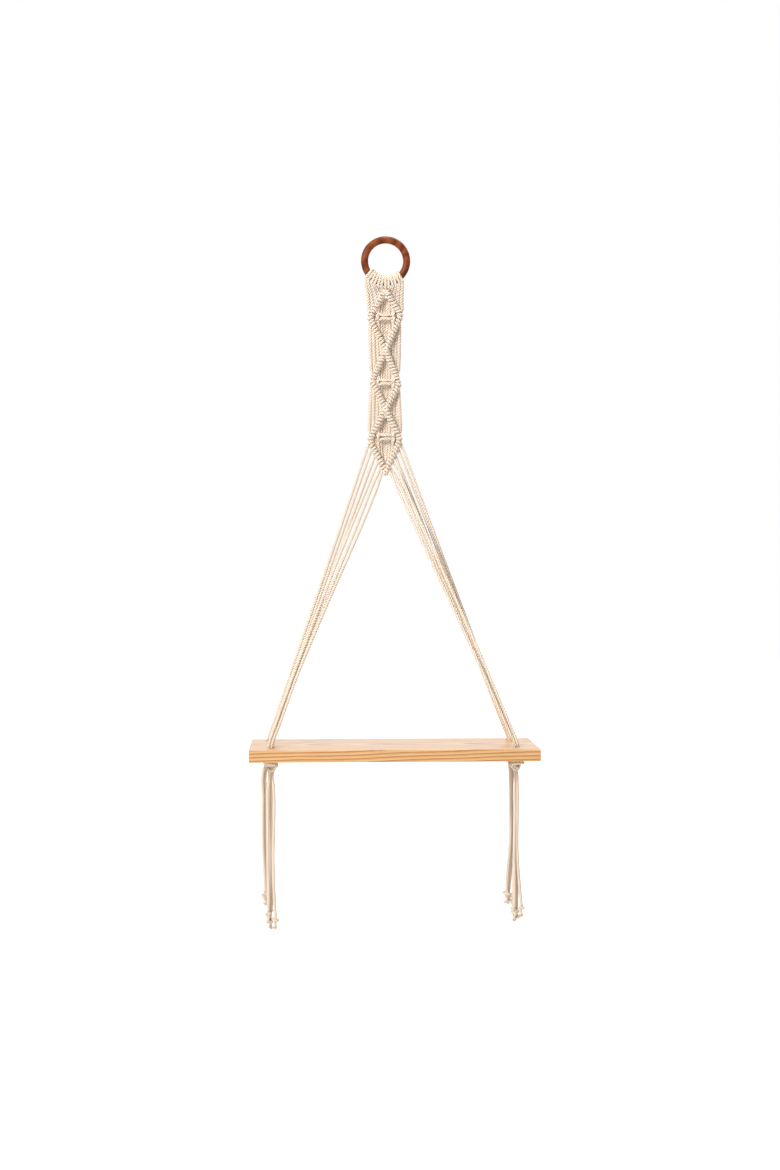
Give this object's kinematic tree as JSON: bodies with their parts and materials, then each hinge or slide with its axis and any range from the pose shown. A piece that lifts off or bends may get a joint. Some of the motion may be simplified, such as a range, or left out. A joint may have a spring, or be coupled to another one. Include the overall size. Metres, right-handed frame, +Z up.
{
  "type": "macrame wall shelf with wooden ring and pine board",
  "caption": "Hanging wall shelf: a knotted cotton cord panel on a wooden ring, its legs spread to the corners of a pine board, with knotted tails below.",
  "frame": {"origin": "inner top of the ring, where the wall hook bears", "axes": "+Z up, +X to the right seen from the room, +Y towards the wall"},
  "size_m": [0.3556, 0.127, 0.8642],
  "materials": {
    "ring_wood": "turned hardwood, sanded and oiled to a low shine, reddish brown",
    "cotton_cord": "undyed three-ply twisted cotton cord, matt and slightly fuzzy",
    "pine": "planed pine with clear matt finish, straight growth rings"
  },
  "bodies": {
    "root": {"ring": "ring_wood", "macrame_panel": "cotton_cord", "board": "pine", "left_front_cords": "cotton_cord", "left_front_tassel": "cotton_cord", "left_back_cords": "cotton_cord", "left_back_tassel": "cotton_cord", "right_front_cords": "cotton_cord", "right_front_tassel": "cotton_cord", "right_back_cords": "cotton_cord", "right_back_tassel": "cotton_cord"}
  },
  "joints": []
}
